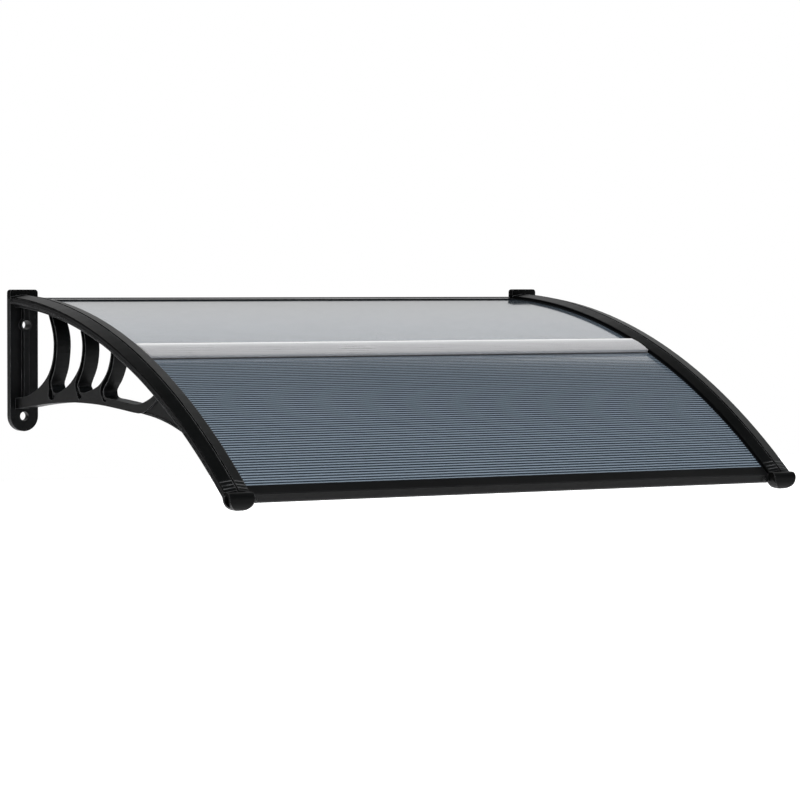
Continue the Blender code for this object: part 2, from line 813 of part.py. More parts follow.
def make_nose(cutters):
    """Rounded end of the arm: its side profile, kept inside a front outline with a round foot."""
    crease_y, crease_z = arc_point(ARC_LENGTH, 0)
    back_y = NOSE_BACK_Y
    front_y = back_y - NOSE_DEPTH
    foot_z = crease_z - NOSE_HEIGHT
    brow = NOSE_BROW_RADIUS
    chin = NOSE_CHIN_RADIUS
    behind = arc_point(ARC_LENGTH - 2 * FIT_GAP, 0)
    profile = [
        (back_y, arc_point(ARC_LENGTH, -CHORD_DROP / 2)[1]),
        (back_y, foot_z + chin / 2),
        *corner_arc((back_y - chin / 2, foot_z + chin / 2), chin / 2, 0, -90, 4)[1:],
        *corner_arc((front_y + chin, foot_z + chin), chin, 270, 180, 6),
        *corner_arc((front_y + brow, crease_z - brow), brow, 180, 100, 5),
        (crease_y, crease_z),
        behind,
    ]
    outer = OUTER_X
    inner = NOSE_INNER_X - MOULD_STEP
    nose = extruded("nose", [profile], SIDE_VIEW, outer - CUT_MARGIN, inner + CUT_MARGIN, cutters)
    side = NOSE_SIDE_RADIUS
    low = foot_z + side
    front = [
        (outer, crease_z + CUT_MARGIN),
        *corner_arc((outer + side, low), side, 180, 270, 9),
        *corner_arc((inner - side, low), side, 270, 360, 9),
        (inner, crease_z + CUT_MARGIN),
    ]
    frame = extruded(
        "nose_front", [front], FRONT_VIEW, -back_y - CUT_MARGIN, -front_y + CUT_MARGIN, cutters
    )
    boolean(nose, frame, "INTERSECT")
    pocket_y = (back_y + front_y) / 2
    pocket_z = foot_z + NOSE_POCKET_RISE
    reach = (NOSE_POCKET_LENGTH - NOSE_POCKET_WIDTH) / 2
    radius = NOSE_POCKET_WIDTH / 2
    pocket = [
        *corner_arc((pocket_y, pocket_z + reach), radius, 0, 180, 8),
        *corner_arc((pocket_y, pocket_z - reach), radius, 180, 360, 8),
    ]
    cut = extruded(
        "nose_pocket",
        [pocket],
        SIDE_VIEW,
        OUTER_X - CUT_MARGIN,
        OUTER_X + NOSE_POCKET_DEPTH,
        cutters,
    )
    boolean(nose, cut, "DIFFERENCE")
    return nose


def hole_heights():
    """Heights of the two wall holes, the lower one in the middle of the round foot."""
    upper = ARM_TOP_AT_WALL - UPPER_HOLE_DROP
    lower = ARM_TOP_AT_WALL - PLATE_DROP + PLATE_WIDTH / 2
    return upper, lower


def add_plate_details(plate, cutters):
    """Stiffening rib, the boss round the upper hole, and both wall holes."""
    upper, lower = hole_heights()
    front_y = -PLATE_THICKNESS - RIB_HEIGHT
    member_z = ARM_TOP_AT_WALL - WALL_OPENING_SIDE[-1][1]
    rib = box(
        "plate_rib",
        (PLATE_CENTRE_X - RIB_WIDTH / 2, front_y, member_z - CHORD_DROP / 4),
        (PLATE_CENTRE_X + RIB_WIDTH / 2, -PLATE_THICKNESS / 2, ARM_TOP_AT_WALL - CHORD_DROP / 2),
        cutters,
    )
    boss_length = -front_y - PLATE_THICKNESS / 2
    boss = cylinder(
        "hole_boss",
        (PLATE_CENTRE_X, front_y + boss_length / 2, upper),
        (0, 1, 0),
        BOSS_DIAMETER / 2,
        boss_length,
        cutters,
        sides=28,
    )
    boolean(plate, rib, "UNION")
    boolean(plate, boss, "UNION")
    for name, z in (("upper_hole", upper), ("lower_hole", lower)):
        hole = cylinder(
            name,
            (PLATE_CENTRE_X, 0, z),
            (0, 1, 0),
            WALL_HOLE_DIAMETER / 2,
            8 * CUT_MARGIN,
            cutters,
            sides=24,
        )
        boolean(plate, hole, "DIFFERENCE")


def screw_places(end_x, count):
    """X of the screws at one end of a bar."""
    return [end_x + SCREW_INSET + SCREW_SPACING * number for number in range(count)]


def add_bar_tabs(plate, cutters):
    """Tabs below the joint and rear bars and the lug inside the front bar, with screw holes."""
    tab = extruded(
        "joint_tab",
        [joint_tab_outline()],
        SIDE_VIEW,
        JOINT_END_X - TAB_ROOT,
        JOINT_END_X + TAB_LENGTH,
        cutters,
    )
    rear_top = REAR_CHANNEL_FLOOR_Z - FIT_GAP
    rear_tab = box(
        "rear_tab",
        (REAR_END_X - TAB_ROOT, -PLATE_THICKNESS + FIT_GAP, rear_top - REAR_TAB_THICKNESS),
        (REAR_END_X + TAB_LENGTH, -REAR_BACK_THICKNESS - FIT_GAP, rear_top),
        cutters,
    )
    low, high = front_chamber()
    lug = box(
        "front_lug",
        (NOSE_INNER_X - TAB_ROOT, low[0] + FIT_GAP, low[1] + FIT_GAP),
        (BAR_END_X + LUG_LENGTH, high[0] - FIT_GAP, high[1] - FIT_GAP),
        cutters,
    )
    for part in (tab, rear_tab, lug):
        boolean(plate, part, "UNION")
    for number, x in enumerate(screw_places(JOINT_END_X, 2), start=1):
        y, z = arc_point(JOINT_PLACE, JOINT_TAB_TOP)
        hole = cylinder(
            f"joint_tab_hole_{number}",
            (x, y, z),
            arc_normal(JOINT_PLACE),
            SCREW_HOLE_RADIUS,
            2 * TAB_THICKNESS + FIT_GAP,
            cutters,
            sides=SCREW_STEPS,
        )
        boolean(plate, hole, "DIFFERENCE")
    for number, x in enumerate(screw_places(REAR_END_X, 2), start=1):
        hole = cylinder(
            f"rear_tab_hole_{number}",
            (x, REAR_SCREW_Y, rear_top),
            (0, 0, 1),
            SCREW_HOLE_RADIUS,
            4 * TAB_THICKNESS,
            cutters,
            sides=SCREW_STEPS,
        )
        boolean(plate, hole, "DIFFERENCE")
    x, y, z = front_screw_place()
    hole = cylinder(
        "front_lug_hole",
        (x, y, z),
        (0, 1, 0),
        SCREW_HOLE_RADIUS,
        8 * CUT_MARGIN,
        cutters,
        sides=SCREW_STEPS,
    )
    boolean(lug, hole, "DIFFERENCE")


def joint_tab_outline():
    half = TAB_DEPTH / 2
    return [
        arc_point(JOINT_PLACE - half, JOINT_TAB_TOP),
        arc_point(JOINT_PLACE + half, JOINT_TAB_TOP),
        arc_point(JOINT_PLACE + half, JOINT_TAB_TOP - TAB_THICKNESS),
        arc_point(JOINT_PLACE - half, JOINT_TAB_TOP - TAB_THICKNESS),
    ]


def make_brackets(parts, cutters, material):
    """Both brackets, each one moulding."""
    plate = extruded(
        "bracket_plate", [plate_outline()], FRONT_VIEW, 0.0, PLATE_THICKNESS, cutters
    )
    sky = make_sky(cutters)
    pieces = (
        make_arm(cutters),
        make_truss(sky, cutters),
        make_gusset(sky, cutters),
        make_nose(cutters),
    )
    for piece in pieces:
        boolean(plate, piece, "UNION")
    add_plate_details(plate, cutters)
    add_bar_tabs(plate, cutters)
    as_cutter(plate)
    left_mesh = evaluated_mesh(plate, "left_bracket")
    left = add_object("left_bracket", left_mesh, parts, material)
    right_mesh = left_mesh.copy()
    right_mesh.name = "right_bracket"
    right_mesh.transform(Matrix.Scale(-1, 4, (1, 0, 0)))
    right_mesh.flip_normals()
    right = add_object("right_bracket", right_mesh, parts, material)
    for obj in (left, right):
        shade(obj)


# Sheets


def sheet_loops(start, end):
    """Section of a sheet: its curved outline, and one hollow flute for each pitch."""
    count = int((end - start - FLUTE_WEB) / FLUTE_PITCH)
    margin = (end - start - FLUTE_WEB - count * FLUTE_PITCH) / 2
    places = [start + margin + FLUTE_PITCH * number for number in range(count + 1)]
    stops = [start, *[place + FLUTE_WEB / 2 for place in places], end]
    outline = [arc_point(stop, SHEET_TOP) for stop in stops]
    outline += [arc_point(stop, SHEET_UNDER) for stop in reversed(stops)]
    loops = [outline]
    ceiling = SHEET_TOP - SHEET_SKIN
    floor = SHEET_UNDER + SHEET_SKIN
    for place in places[:-1]:
        low = place + FLUTE_WEB
        high = place + FLUTE_PITCH
        loops.append(
            [
                arc_point(low, ceiling),
                arc_point(high, ceiling),
                arc_point(high, floor),
                arc_point(low, floor),
            ]
        )
    return loops


def make_sheets(parts, material):
    edge_x = OUTER_X + SHEET_SIDE_INSET
    spans = {
        "rear_sheet": (REAR_SHEET_START, REAR_SHEET_END),
        "front_sheet": (FRONT_SHEET_START, FRONT_SHEET_END),
    }
    for name, (start, end) in spans.items():
        sheet = extruded(name, sheet_loops(start, end), SIDE_VIEW, edge_x, -edge_x, parts)
        sheet.data.materials.append(material)
        shade(sheet)


# Joint bar and its two seals


def joint_top_line():
    """Crowned top of the joint bar, with fine grooves along its front half."""
    half = JOINT_WIDTH / 2
    grooves = [
        JOINT_GROOVE_SHIFT + JOINT_GROOVE_PITCH * (number - (JOINT_GROOVE_COUNT - 1) / 2)
        for number in range(JOINT_GROOVE_COUNT)
    ]

    def rise(across):
        return JOINT_CROWN * (1 - (across / half) ** 2) - JOINT_EDGE_DROP

    stops = [-half + JOINT_WIDTH * step / JOINT_CROWN_STEPS for step in range(JOINT_CROWN_STEPS + 1)]
    width = JOINT_GROOVE_WIDTH
    clear = [stop for stop in stops if all(abs(stop - groove) > width for groove in grooves)]
    line = [(stop, rise(stop)) for stop in clear]
    for groove in grooves:
        line.append((groove - width / 2, rise(groove - width / 2)))
        line.append((groove, rise(groove) - JOINT_GROOVE_DEPTH))
        line.append((groove + width / 2, rise(groove + width / 2)))
    return [arc_point(JOINT_PLACE + across, height) for across, height in sorted(line)]


def make_joint_bar(parts, material):
    """H-shaped bar: a flat hollow box above the sheets, a screw channel, a flange below."""
    half = JOINT_WIDTH / 2
    lower = JOINT_LOWER_WIDTH / 2
    web = JOINT_WEB_HALF
    slot = SCREW_HOLE_RADIUS
    floor = -JOINT_BOX_FLOOR_DROP
    roof = floor + JOINT_WALL

    def at(across, rise):
        return arc_point(JOINT_PLACE + across, rise)

    outline = [
        *joint_top_line(),
        at(half, floor),
        at(web, floor),
        at(web, JOINT_LOWER_TOP),
        at(lower, JOINT_LOWER_TOP),
        at(lower, JOINT_LOWER_UNDER),
        at(slot, JOINT_LOWER_UNDER),
        at(slot, floor - JOINT_WALL),
        at(-slot, floor - JOINT_WALL),
        at(-slot, JOINT_LOWER_UNDER),
        at(-lower, JOINT_LOWER_UNDER),
        at(-lower, JOINT_LOWER_TOP),
        at(-web, JOINT_LOWER_TOP),
        at(-web, floor),
        at(-half, floor),
    ]
    hollow = [
        at(-half + JOINT_WALL, roof),
        at(half - JOINT_WALL, roof),
        at(half - JOINT_WALL, -JOINT_WALL - JOINT_EDGE_DROP),
        at(-half + JOINT_WALL, -JOINT_WALL - JOINT_EDGE_DROP),
    ]
    bar = extruded(
        "joint_bar", [outline, hollow], SIDE_VIEW, JOINT_END_X, -JOINT_END_X, parts
    )
    bar.data.materials.append(material)
    shade(bar)


def make_joint_seals(parts, material):
    """Rubber strips between the joint bar's edges and the sheets, a little proud of them."""
    half = JOINT_WIDTH / 2
    top = -JOINT_BOX_FLOOR_DROP - FIT_GAP
    under = SHEET_TOP + FIT_GAP
    sides = {"joint_seal_rear": -1, "joint_seal_front": 1}
    for name, side in sides.items():
        proud = JOINT_PLACE + side * (half + SEAL_PROUD)
        edge = JOINT_PLACE + side * half
        inside = JOINT_PLACE + side * (half + SEAL_PROUD - SEAL_WIDTH)
        outline = [
            arc_point(inside, under),
            arc_point(proud, under),
            arc_point(proud, (top + under) / 2),
            arc_point(edge, top),
            arc_point(inside, top),
        ]
        seal = extruded(name, [outline], SIDE_VIEW, JOINT_END_X, -JOINT_END_X, parts)
        seal.data.materials.append(material)


# Front bar


def front_face_corner():
    """(y, z) of the front face's bottom edge."""
    crease_y, crease_z = arc_point(FRONT_CREASE_PLACE, FRONT_STRIP_TOP)
    return crease_y - FRONT_FACE_STEP, crease_z - FRONT_FACE_HEIGHT


def front_chamber():
    """Lowest and highest (y, z) of the hollow inside the front bar."""
    face_y, bottom_z = front_face_corner()
    low = (face_y + FRONT_CHAMBER_WALL, bottom_z + FRONT_CHAMBER_WALL)
    high = (low[0] + FRONT_CHAMBER_DEPTH, low[1] + FRONT_CHAMBER_HEIGHT)
    return low, high


def front_screw_place():
    """Middle of the screw's head seat on the front bar's face."""
    low, high = front_chamber()
    face_y = front_face_corner()[0]
    return BAR_END_X + SCREW_INSET, face_y, (low[1] + high[1]) / 2


def make_front_bar(parts, cutters, material):
    """Channel that grips the front sheet's edge, with a hollow gutter nose below."""
    crease_y, crease_z = arc_point(FRONT_CREASE_PLACE, FRONT_STRIP_TOP)
    face_y, bottom_z = front_face_corner()
    chamfer = FRONT_FACE_CHAMFER
    low, high = front_chamber()
    heel_y = high[0] + FRONT_CHAMBER_WALL
    lip_under = SLOT_FLOOR - FRONT_LIP_THICKNESS
    outline = [
        arc_point(FRONT_STRIP_START, SLOT_TOP),
        arc_point(FRONT_STRIP_START, FRONT_STRIP_TOP),
        (crease_y, crease_z),
        (face_y, crease_z - chamfer),
        (face_y, bottom_z + chamfer),
        (face_y + chamfer, bottom_z),
        (heel_y, bottom_z),
        (heel_y, high[1] + FRONT_CHAMBER_WALL),
        arc_point(FRONT_SLOT_END, lip_under),
        arc_point(FRONT_STRIP_START, lip_under),
        arc_point(FRONT_STRIP_START, SLOT_FLOOR),
        arc_point(FRONT_SLOT_END, SLOT_FLOOR),
        arc_point(FRONT_SLOT_END, SLOT_TOP),
    ]
    hollow = [low, (high[0], low[1]), high, (low[0], high[1])]
    bar = extruded("front_bar", [outline, hollow], SIDE_VIEW, BAR_END_X, -BAR_END_X, parts)
    bar.data.materials.append(material)
    x, y, z = front_screw_place()
    for name, place in (("left", x), ("right", -x)):
        hole = cylinder(
            f"front_bar_{name}_hole",
            (place, y, z),
            (0, 1, 0),
            SCREW_HOLE_RADIUS,
            2 * (FRONT_CHAMBER_WALL + FRONT_CHAMBER_DEPTH / 2),
            cutters,
            sides=SCREW_STEPS,
        )
        boolean(bar, hole, "DIFFERENCE")
    shade(bar)


# Rear bar and wall seal


def make_rear_bar(parts, material):
    """Channel that grips the rear sheet's edge, flat against the wall, with a screw channel."""
    slot_end = REAR_SHEET_START - FIT_GAP
    wall_y = -slot_end + REAR_WALL
    hollow_top = ARM_TOP_AT_WALL + REAR_LIP_TOP - REAR_WALL
    hollow_floor = ARM_TOP_AT_WALL + SLOT_FLOOR
    front_y = REAR_CHANNEL_FRONT_Y - REAR_WALL
    lip_under_z = REAR_CHANNEL_ROOF_Z + REAR_WALL
    outline = [
        (0.0, REAR_BOTTOM_Z),
        (0.0, REAR_TOP_Z),
        arc_point(REAR_LIP_REACH, REAR_LIP_TOP),
        arc_point(REAR_LIP_REACH, SLOT_TOP),
        arc_point(slot_end, SLOT_TOP),
        arc_point(slot_end, SLOT_FLOOR),
        arc_point(REAR_LIP_REACH, SLOT_FLOOR),
        arc_point(REAR_LIP_REACH, REAR_LOWER_LIP_UNDER),
        (front_y, lip_under_z - FIT_GAP),
        (front_y, REAR_CHANNEL_FLOOR_Z),
        (REAR_CHANNEL_FRONT_Y, REAR_CHANNEL_FLOOR_Z),
        (REAR_CHANNEL_FRONT_Y, REAR_CHANNEL_ROOF_Z),
        (REAR_CHANNEL_BACK_Y, REAR_CHANNEL_ROOF_Z),
        (REAR_CHANNEL_BACK_Y, REAR_CHANNEL_FLOOR_Z),
        (-REAR_BACK_THICKNESS, REAR_CHANNEL_FLOOR_Z),
        (-REAR_BACK_THICKNESS, REAR_BOTTOM_Z),
    ]
    hollow = [
        (-REAR_BACK_THICKNESS, hollow_floor),
        (wall_y, hollow_floor),
        (wall_y, hollow_top),
        (-REAR_BACK_THICKNESS, hollow_top),
    ]
    bar = extruded("rear_bar", [outline, hollow], SIDE_VIEW, REAR_END_X, -REAR_END_X, parts)
    bar.data.materials.append(material)
    shade(bar)


def make_wall_seal(parts, material):
    """Rubber bead along the top of the rear bar, against the wall."""
    base = REAR_TOP_Z + FIT_GAP
    radius = WALL_SEAL_HEIGHT
    outline = [
        (0.0, base),
        *corner_arc((-WALL_SEAL_DEPTH + radius, base), radius, 180, 90, 4),
        (0.0, base + radius),
    ]
    seal = extruded("wall_seal", [outline], SIDE_VIEW, REAR_END_X, -REAR_END_X, parts)
    seal.data.materials.append(material)
    shade(seal)


# Screws


def screw_mesh(length):
    """Profile of a pan-head screw, from the head's top down to the tip, to be turned."""
    head = SCREW_HEAD_DIAMETER / 2
    shank = SCREW_SHANK_DIAMETER / 2
    profile = (
        (0.0, SCREW_HEAD_HEIGHT),
        (0.6 * head, SCREW_HEAD_HEIGHT),
        (head, 0.35 * SCREW_HEAD_HEIGHT),
        (head, 0.0),
        (shank, 0.0),
        (shank, -length + shank),
        (0.0, -length),
    )
    mesh = bpy.data.meshes.new("screw_profile")
    edges = [(index, index + 1) for index in range(len(profile) - 1)]
    mesh.from_pydata([(radius, 0.0, z) for radius, z in profile], edges, [])
    return mesh


def add_screw(name, seat, outward, length, parts, material):
    """One screw whose head sits on the seat and points outward."""
    screw = add_object(name, screw_mesh(length), parts, material)
    turn = Vector(outward).to_track_quat("Z", "X").to_matrix().to_4x4()
    screw.matrix_world = Matrix.Translation(Vector(seat) + Vector(outward) * FIT_GAP) @ turn
    modifier = screw.modifiers.new("turn", "SCREW")
    modifier.axis = "Z"
    modifier.angle = math.tau
    modifier.steps = SCREW_STEPS
    modifier.render_steps = SCREW_STEPS
    modifier.use_merge_vertices = True
    modifier.merge_threshold = 1e-5
    modifier.use_smooth_shade = True


def add_screws(parts, material, front_material):
    """Two screws at each end of the joint and rear bars, one at each end of the front bar."""
    joint_y, joint_z = arc_point(JOINT_PLACE, JOINT_TAB_TOP - TAB_THICKNESS)
    joint_out = -arc_normal(JOINT_PLACE)
    rear_z = REAR_CHANNEL_FLOOR_Z - FIT_GAP - REAR_TAB_THICKNESS
    joint_room = -JOINT_BOX_FLOOR_DROP - JOINT_WALL - (JOINT_TAB_TOP - TAB_THICKNESS)
    rear_room = REAR_CHANNEL_ROOF_Z - rear_z
    front_x, front_y, front_z = front_screw_place()
    front_length = FRONT_CHAMBER_WALL + FRONT_CHAMBER_DEPTH
    for side, sign in (("left", 1), ("right", -1)):
        for number, x in enumerate(screw_places(JOINT_END_X, 2), start=1):
            seat = (sign * x, joint_y, joint_z)
            name = f"joint_screw_{side}_{number}"
            add_screw(name, seat, joint_out, joint_room - FIT_GAP, parts, material)
        for number, x in enumerate(screw_places(REAR_END_X, 2), start=1):
            seat = (sign * x, REAR_SCREW_Y, rear_z)
            name = f"rear_screw_{side}_{number}"
            add_screw(name, seat, Vector((0, 0, -1)), rear_room - FIT_GAP, parts, material)
        seat = (sign * front_x, front_y, front_z)
        name = f"front_screw_{side}"
        add_screw(name, seat, Vector((0, -1, 0)), front_length - FIT_GAP, parts, front_material)


def main():
    clear_scene()
    parts = new_collection(COLLECTION_NAME)
    cutters = new_collection(CUTTER_COLLECTION_NAME)
    materials = {name: make_material(name) for name in MATERIALS}
    make_brackets(parts, cutters, materials["black_plastic"])
    make_sheets(parts, materials["smoke_polycarbonate"])
    make_joint_bar(parts, materials["silver_aluminium"])
    make_joint_seals(parts, materials["black_rubber"])
    make_front_bar(parts, cutters, materials["black_aluminium"])
    make_rear_bar(parts, materials["black_aluminium"])
    make_wall_seal(parts, materials["black_rubber"])
    add_screws(parts, materials["screw_steel"], materials["black_aluminium"])


main()
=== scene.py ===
"""Looks for a curved door canopy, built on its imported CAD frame.

Metres, +Z up, the wall in the plane Y = 0 and the canopy reaching out to -Y.
"""

import math

import bpy
from mathutils import Matrix, Vector

# Photo's camera: turned to the right, tipped down and rolled by these degrees

CAMERA_PLACE = (-2.64063, -4.69558, 0.05356)
CAMERA_TURN = 31.45
CAMERA_PITCH = 2.23
CAMERA_ROLL = 0.13
CAMERA_LENS = 145.25
SENSOR_WIDTH = 36.0

# Floor, whose glow is seen only by the camera and through the sheets

FLOOR_LEVEL = -2.4
FLOOR_SIZE = 60.0
FLOOR_COLOUR = (0.86, 0.86, 0.87)
FLOOR_GLOW = 0.55

# Room's brightness by direction, with limits on the direction's X, Y and Z

SEEN_BACKGROUND = 1.0
FRONT_ROOM_LIGHT = 0.05
HORIZON_LIGHT = 0.34
BACK_ROOM_LIGHT = 0.48
BACKDROP_TOP_LIGHT = 1.0
CEILING_LIGHT = 0.045
LEFT_ROOM_SHARE = 0.22
BACK_FROM_Y, BACK_TO_Y = -0.35, 0.55
HORIZON_FROM_Z, HORIZON_TO_Z = -0.02, 0.12
BACKDROP_TOP_Z = math.sin(math.radians(36.0))
FADE_FROM_Z, FADE_TO_Z = BACKDROP_TOP_Z - 0.01, BACKDROP_TOP_Z + 0.03
LEFT_FROM_X, LEFT_TO_X = -0.45, 0.25

# Lights

SUN_STRENGTH = 3.3
SUN_SPREAD = 70.0
SUN_AIM = (0.25, 0.35, -1.0)
SOFTBOX_PLACE = (-1.8, -2.2, 3.2)
SOFTBOX_TARGET = (0.0, -0.3, 0.0)
SOFTBOX_SIZE = (1.6, 1.2)
SOFTBOX_POWER = 5.0
FILL_PLACE = (-1.0, -4.0, -0.3)
FILL_TARGET = (0.0, -0.4, -0.1)
FILL_SIZE = (3.0, 2.0)
FILL_POWER = 30.0

# Roof arc and its sheets' flutes, as the frame has them

ARC_RADIUS = 1.214
ARC_START_SLOPE = math.radians(1.75)
ARM_TOP_AT_WALL = 0.017
FLUTE_PITCH = 0.0058
REAR_FLUTE_START = 0.0139
FRONT_FLUTE_START = 0.4015
ARC_CENTRE_Y = ARC_RADIUS * math.sin(ARC_START_SLOPE)
ARC_CENTRE_Z = ARM_TOP_AT_WALL - ARC_RADIUS * math.cos(ARC_START_SLOPE)

# Painted shade of a groove: a dark line on the arms' sides, by depth below the arc and by X of
# the normal

LINE_FROM_DEPTH, LINE_FULL_DEPTH = 0.0040, 0.0030
SIDE_FROM, SIDE_FULL = 0.5, 0.7
LINE_ROUGHNESS = 0.5

# Painted highlight along edges, by the cosine between the true normal and a rounded edge's

PLASTIC_EDGE_FROM, PLASTIC_EDGE_FULL = 0.990, 0.86
COATING_EDGE_FROM, COATING_EDGE_FULL = 0.999, 0.93
COATING_EDGE_STRENGTH = 0.8

# Joint bar's painted highlight along its rear edge, by Y of the normal

REAR_HIGHLIGHT_FROM, REAR_HIGHLIGHT_FULL = -0.29, -0.21
SILVER_METAL = 0.55

# Sheets' bands, by the distance from a flute's middle in flutes

BAND_FROM, BAND_FULL = 0.20, 0.32
WEB_FROM, WEB_FULL = 0.44, 0.48
WEB_STRENGTH = 0.5
STREAK_STRENGTH = 0.12

# Half of the range that a noise value covers, round 0.5

NOISE_REACH = 0.2
STREAK_REACH = 0.15
NOISE_SHIFT = (0.45, 0.3, 0.2)

# Colours, most of them as a pair that noise blends between

PLASTIC_TONES = (0.0022, 0.0025, 0.0026), (0.0040, 0.0043, 0.0044)
PLASTIC_EDGE_HIGHLIGHT = (0.20, 0.205, 0.21)
PLASTIC_GROOVE_SHADE = (0.0005, 0.0005, 0.0005)
COATING_TONES = (0.0028, 0.0030, 0.0032), (0.0050, 0.0052, 0.0055)
COATING_EDGE_HIGHLIGHT = (0.05, 0.051, 0.053)
SILVER_TONES = (0.56, 0.565, 0.585), (0.71, 0.715, 0.735)
SILVER_PAINTED_HIGHLIGHT = (1.0, 1.0, 1.0)
RUBBER_TONES = (0.040, 0.041, 0.044), (0.055, 0.056, 0.060)
STEEL_TONES = (0.50, 0.50, 0.51), (0.66, 0.66, 0.67)
DARK_BAND_TONES = (0.006, 0.015, 0.026), (0.010, 0.020, 0.032)
LIGHT_BAND_TONES = (0.275, 0.345, 0.420), (0.300, 0.370, 0.445)
WEB_COLOUR = (0.10, 0.13, 0.17)
STREAK_COLOUR = (0.20, 0.24, 0.29)


class Graph:
    """Short names for making a node tree."""

    def __init__(self, tree):
        self.tree = tree
        tree.nodes.clear()

    def node(self, kind, values=(), **settings):
        made = self.tree.nodes.new(kind)
        for key, value in settings.items():
            setattr(made, key, value)
        for key, value in dict(values).items():
            self.feed(value, made.inputs[key])
        return made

    def feed(self, value, socket):
        if isinstance(value, bpy.types.NodeSocket):
            self.tree.links.new(value, socket)
        else:
            socket.default_value = value

    def math(self, operation, first, second=0.0, clamp=False):
        made = self.node("ShaderNodeMath", operation=operation, use_clamp=clamp)
        self.feed(first, made.inputs[0])
        self.feed(second, made.inputs[1])
        return made.outputs[0]

    def add(self, first, second, clamp=False):
        return self.math("ADD", first, second, clamp=clamp)

    def subtract(self, first, second):
        return self.math("SUBTRACT", first, second)

    def multiply(self, first, second):
        return self.math("MULTIPLY", first, second)

    def between(self, amount, first, second):
        """A number that goes from the first to the second as the amount goes to 1."""
        return self.add(first, self.multiply(amount, self.subtract(second, first)))

    def span(self, value, low, high, out_low=0.0, out_high=1.0, smooth=False):
        made = self.node(
            "ShaderNodeMapRange",
            {"From Min": low, "From Max": high, "To Min": out_low, "To Max": out_high},
            interpolation_type="SMOOTHSTEP" if smooth else "LINEAR",
        )
        self.feed(value, made.inputs["Value"])
        return made.outputs["Result"]

    def spread(self, noise, out_low=0.0, out_high=1.0, reach=NOISE_REACH):
        """Noise keeps near 0.5, so its middle is stretched over the whole range."""
        return self.span(noise, 0.5 - reach, 0.5 + reach, out_low, out_high)

    def place(self):
        return self.node("ShaderNodeTexCoord").outputs["Object"]

    def stretched(self, *scale):
        values = {"Vector": self.place(), "Scale": scale, "Location": NOISE_SHIFT}
        return self.node("ShaderNodeMapping", values).outputs[0]

    def parts(self, vector):
        return self.node("ShaderNodeSeparateXYZ", {"Vector": vector}).outputs

    def noise(self, vector, scale=1.0, detail=3.0, roughness=0.55):
        made = self.node("ShaderNodeTexNoise", {"Vector": vector, "Scale": scale})
        self.feed(detail, made.inputs["Detail"])
        self.feed(roughness, made.inputs["Roughness"])
        return made.outputs["Fac"]

    def blend(self, amount, first, second):
        made = self.node("ShaderNodeMix", data_type="RGBA", blend_type="MIX")
        self.feed(amount, made.inputs[0])
        for value, index in ((first, 6), (second, 7)):
            full = (*value, 1.0) if isinstance(value, tuple) else value
            self.feed(full, made.inputs[index])
        return made.outputs[2]

    def bump(self, height, strength, distance, normal=None):
        values = {"Height": height, "Strength": strength, "Distance": distance}
        if normal is not None:
            values["Normal"] = normal
        return self.node("ShaderNodeBump", values).outputs[0]

    def rounded(self, radius, samples=6):
        return self.node("ShaderNodeBevel", {"Radius": radius}, samples=samples).outputs[0]

    def flat_normal(self):
        return self.node("ShaderNodeNewGeometry").outputs["Normal"]

    def alignment(self, first, second):
        """Cosine of the angle between two normals, 1 away from every edge."""
        made = self.node("ShaderNodeVectorMath", operation="DOT_PRODUCT")
        self.feed(first, made.inputs[0])
        self.feed(second, made.inputs[1])
        return made.outputs["Value"]

    def surface(self, values):
        shader = self.node("ShaderNodeBsdfPrincipled", values)
        output = self.node("ShaderNodeOutputMaterial")
        self.feed(shader.outputs[0], output.inputs["Surface"])


def new_material(name, colour):
    material = bpy.data.materials.new(name)
    material.use_nodes = True
    material.diffuse_color = (*colour, 1.0)
    return material, Graph(material.node_tree)


def from_arc_centre(g, where):
    """How far out and how far up a point is from the roof arc's centre."""
    parts = g.parts(where)
    return g.subtract(ARC_CENTRE_Y, parts["Y"]), g.subtract(parts["Z"], ARC_CENTRE_Z)


def painted_groove_shade(g, where, flat):
    """Painted groove shade: a dark line along the sides of the arms, from just below the arc
    upwards.
    """
    out, up = from_arc_centre(g, where)
    squares = g.add(g.math("POWER", out, 2.0), g.math("POWER", up, 2.0))
    radius = g.math("SQRT", squares)
    across = g.math("ABSOLUTE", g.parts(flat)["X"])
    side = g.span(across, SIDE_FROM, SIDE_FULL)
    low = ARC_RADIUS - LINE_FROM_DEPTH
    high = ARC_RADIUS - LINE_FULL_DEPTH
    return g.multiply(side, g.span(radius, low, high, smooth=True))


def black_plastic():
    """Fine moulded grain, with a painted highlight along the edges and a painted groove shade
    on the arms' sides.
    """
    material, g = new_material("moulded_black_plastic", (0.02, 0.02, 0.02))
    where = g.place()
    cloud = g.noise(where, scale=9.0)
    grain = g.noise(where, scale=1500.0, detail=2.0, roughness=0.6)
    flow = g.noise(where, scale=60.0, detail=2.0)
    colour = g.blend(g.spread(cloud), *PLASTIC_TONES)
    edge_normal = g.rounded(radius=0.0008, samples=8)
    flat = g.flat_normal()
    alignment = g.alignment(edge_normal, flat)
    edge = g.span(alignment, PLASTIC_EDGE_FROM, PLASTIC_EDGE_FULL)
    # Painted highlight along the edges, uneven along their length
    painted_edge_highlight = g.multiply(edge, g.spread(flow, 0.4, 1.0, reach=STREAK_REACH))
    colour = g.blend(painted_edge_highlight, colour, PLASTIC_EDGE_HIGHLIGHT)
    # Painted shade of a groove along the arms' sides, which is also rougher
    groove_shade = painted_groove_shade(g, where, flat)
    colour = g.blend(groove_shade, colour, PLASTIC_GROOVE_SHADE)
    rough = g.add(g.spread(cloud, 0.36, 0.43), g.spread(grain, -0.03, 0.03))
    rough = g.add(rough, g.multiply(groove_shade, LINE_ROUGHNESS))
    height = g.add(g.multiply(grain, 0.6), g.multiply(flow, 0.4))
    g.surface({
        "Base Color": colour,
        "Roughness": rough,
        "Normal": g.bump(height, strength=0.35, distance=0.00012, normal=edge_normal),
        "Specular IOR Level": 0.18,
    })
    return material


